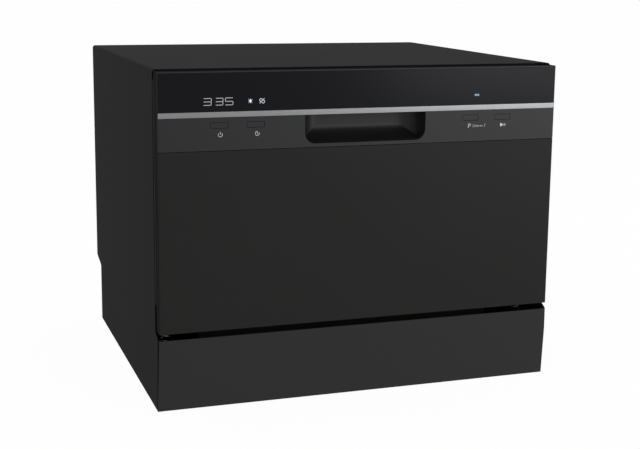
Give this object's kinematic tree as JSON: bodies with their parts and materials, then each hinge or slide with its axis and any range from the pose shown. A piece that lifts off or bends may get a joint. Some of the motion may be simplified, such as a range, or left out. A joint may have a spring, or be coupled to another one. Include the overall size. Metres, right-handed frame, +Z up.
{
  "type": "countertop dishwasher",
  "caption": "Compact dishwasher for a worktop: a drop-down door with a control fascia and a handle pocket, a steel tub, a sliding wire rack and a kick panel.",
  "frame": {"origin": "on the worktop, under the middle of the cabinet's box", "axes": "+X to the right seen from the front, +Y to the back, +Z up; the door faces -Y"},
  "size_m": [0.55, 0.5, 0.438],
  "materials": {
    "cabinet_paint": "fine satin powder coat",
    "door_paint": "fine satin powder coat",
    "black_plastic": "fine spark texture",
    "gloss_band": "polished",
    "silver_trim": "satin anodised",
    "stainless": "brushed",
    "zinc_steel": "zinc plated",
    "grey_plastic": "moulded",
    "white_plastic": "moulded",
    "blue_grey_plastic": "moulded",
    "coated_wire": "smooth nylon coating",
    "black_rubber": "matt",
    "dark_plastic": "moulded",
    "felt": "bitumen and felt",
    "circuit_board": "solder mask",
    "red_plastic": "moulded",
    "foam": "foam"
  },
  "bodies": {
    "cabinet": {"cabinet_wrap": "cabinet_paint", "rear_panel": "cabinet_paint", "base_tray": "dark_plastic", "kick_panel": "black_plastic", "front_crossmember": "cabinet_paint", "feet": "black_rubber", "front_frame": "stainless", "striker": "zinc_steel", "tub_wrap": "stainless", "tub_back": "stainless", "tub_floor": "grey_plastic", "door_seals": "black_rubber", "tub_insulation": "felt", "hinge_brackets": "cabinet_paint", "door_springs": "zinc_steel", "sump": "white_plastic", "spray_hub": "grey_plastic", "filter_plate": "stainless", "softener_tank": "white_plastic", "wash_pump": "dark_plastic", "pump_hoses": "black_rubber", "drain_pump": "dark_plastic", "inlet_valve": "white_plastic", "drain_outlet": "grey_plastic", "cord_gland": "black_rubber", "air_break": "white_plastic", "leak_switch": "red_plastic"},
    "door": {"door_panel": "door_paint", "control_fascia": "black_plastic", "display_panel": "gloss_band", "trim_strip": "silver_trim", "door_liner": "stainless", "door_insulation": "felt", "control_boards": "circuit_board", "latch_housing": "grey_plastic", "dispenser_body": "grey_plastic", "hinge_arms": "cabinet_paint"},
    "button_power": {"button_power": "black_plastic"},
    "button_delay": {"button_delay": "black_plastic"},
    "button_program": {"button_program": "black_plastic"},
    "button_start": {"button_start": "black_plastic"},
    "latch_catch": {"latch_catch": "white_plastic"},
    "dispenser_lid": {"dispenser_lid": "blue_grey_plastic"},
    "rinse_cap": {"rinse_cap": "blue_grey_plastic"},
    "rack": {"rack_frame": "coated_wire", "plate_tines": "coated_wire", "rack_clips": "blue_grey_plastic"},
    "roller_front_left": {"roller_front_left": "blue_grey_plastic"},
    "roller_front_right": {"roller_front_right": "blue_grey_plastic"},
    "roller_rear_left": {"roller_rear_left": "blue_grey_plastic"},
    "roller_rear_right": {"roller_rear_right": "blue_grey_plastic"},
    "cup_shelf": {"cup_shelf": "coated_wire"},
    "cutlery_basket": {"cutlery_basket": "blue_grey_plastic"},
    "spray_arm": {"spray_arm": "grey_plastic"},
    "filter": {"coarse_filter": "blue_grey_plastic", "microfilter": "stainless"},
    "salt_cap": {"salt_cap": "blue_grey_plastic"},
    "leak_float": {"leak_float": "foam"},
    "wash_impeller": {"wash_impeller": "white_plastic"},
    "drain_impeller": {"drain_impeller": "white_plastic"}
  },
  "joints": [
    {"name": "door_hinge", "type": "hinge", "parent": "cabinet", "child": "door", "pos_m": [0, -0.225, 0.1225], "axis": [1, 0, 0], "range_deg": [0, 90], "deforming": ["door_springs"]},
    {"name": "rack_slide", "type": "slide", "parent": "cabinet", "child": "rack", "axis": [0, -1, 0], "range_m": [0, 0.3]},
    {"name": "roller_front_left_spin", "type": "hinge", "parent": "rack", "child": "roller_front_left", "pos_m": [-0.228, -0.104, 0.1638], "axis": [1, 0, 0], "continuous": true},
    {"name": "roller_front_right_spin", "type": "hinge", "parent": "rack", "child": "roller_front_right", "pos_m": [0.228, -0.104, 0.1638], "axis": [1, 0, 0], "continuous": true},
    {"name": "roller_rear_left_spin", "type": "hinge", "parent": "rack", "child": "roller_rear_left", "pos_m": [-0.228, 0.146, 0.1638], "axis": [1, 0, 0], "continuous": true},
    {"name": "roller_rear_right_spin", "type": "hinge", "parent": "rack", "child": "roller_rear_right", "pos_m": [0.228, 0.146, 0.1638], "axis": [1, 0, 0], "continuous": true},
    {"name": "cup_shelf_fold", "type": "hinge", "parent": "rack", "child": "cup_shelf", "pos_m": [0.2001, 0.0121, 0.2525], "axis": [0, 1, 0], "range_deg": [0, 90]},
    {"name": "cutlery_basket_lift", "type": "slide", "parent": "rack", "child": "cutlery_basket", "axis": [0, 0, 1], "range_m": [0, 0.08]},
    {"name": "button_power_press", "type": "slide", "parent": "door", "child": "button_power", "axis": [0, 1, 0], "range_m": [0, 0.001], "stiffness_N_per_m": 400, "springref_m": -0.0005},
    {"name": "button_delay_press", "type": "slide", "parent": "door", "child": "button_delay", "axis": [0, 1, 0], "range_m": [0, 0.001], "stiffness_N_per_m": 400, "springref_m": -0.0005},
    {"name": "button_program_press", "type": "slide", "parent": "door", "child": "button_program", "axis": [0, 1, 0], "range_m": [0, 0.001], "stiffness_N_per_m": 400, "springref_m": -0.0005},
    {"name": "button_start_press", "type": "slide", "parent": "door", "child": "button_start", "axis": [0, 1, 0], "range_m": [0, 0.001], "stiffness_N_per_m": 400, "springref_m": -0.0005},
    {"name": "latch_catch_swing", "type": "hinge", "parent": "door", "child": "latch_catch", "pos_m": [0, -0.206, 0.4135], "axis": [1, 0, 0], "range_deg": [-12, 0], "stiffness_Nm_per_rad": 0.15, "springref_deg": 17.19},
    {"name": "dispenser_lid_slide", "type": "slide", "parent": "door", "child": "dispenser_lid", "axis": [1, 0, 0], "range_m": [0, 0.05]},
    {"name": "rinse_cap_turn", "type": "hinge", "parent": "door", "child": "rinse_cap", "pos_m": [-0.052, -0.198, 0.2415], "axis": [0, -1, 0], "range_deg": [0, 90]},
    {"name": "spray_arm_spin", "type": "hinge", "parent": "cabinet", "child": "spray_arm", "pos_m": [0, 0.0121, 0.1395], "axis": [0, 0, 1], "continuous": true},
    {"name": "filter_turn", "type": "hinge", "parent": "cabinet", "child": "filter", "pos_m": [0.092, 0.0521, 0.1], "axis": [0, 0, 1], "range_deg": [0, 90]},
    {"name": "salt_cap_turn", "type": "hinge", "parent": "cabinet", "child": "salt_cap", "pos_m": [-0.118, 0.0621, 0.124], "axis": [0, 0, 1], "continuous": true},
    {"name": "leak_float_rise", "type": "slide", "parent": "cabinet", "child": "leak_float", "axis": [0, 0, 1], "range_m": [0, 0.008]},
    {"name": "wash_impeller_spin", "type": "hinge", "parent": "cabinet", "child": "wash_impeller", "pos_m": [0.046, -0.072, 0.056], "axis": [1, 0, 0], "continuous": true},
    {"name": "drain_impeller_spin", "type": "hinge", "parent": "cabinet", "child": "drain_impeller", "pos_m": [0.17, 0.0521, 0.05], "axis": [1, 0, 0], "continuous": true}
  ],
  "couplings": [
    {"joint": "rack_slide", "follows": "door_hinge", "m_per_rad": 0.08},
    {"joint": "roller_front_left_spin", "follows": "door_hinge", "ratio": 5.7143},
    {"joint": "roller_front_right_spin", "follows": "door_hinge", "ratio": 5.7143},
    {"joint": "roller_rear_left_spin", "follows": "door_hinge", "ratio": 5.7143},
    {"joint": "roller_rear_right_spin", "follows": "door_hinge", "ratio": 5.7143}
  ]
}
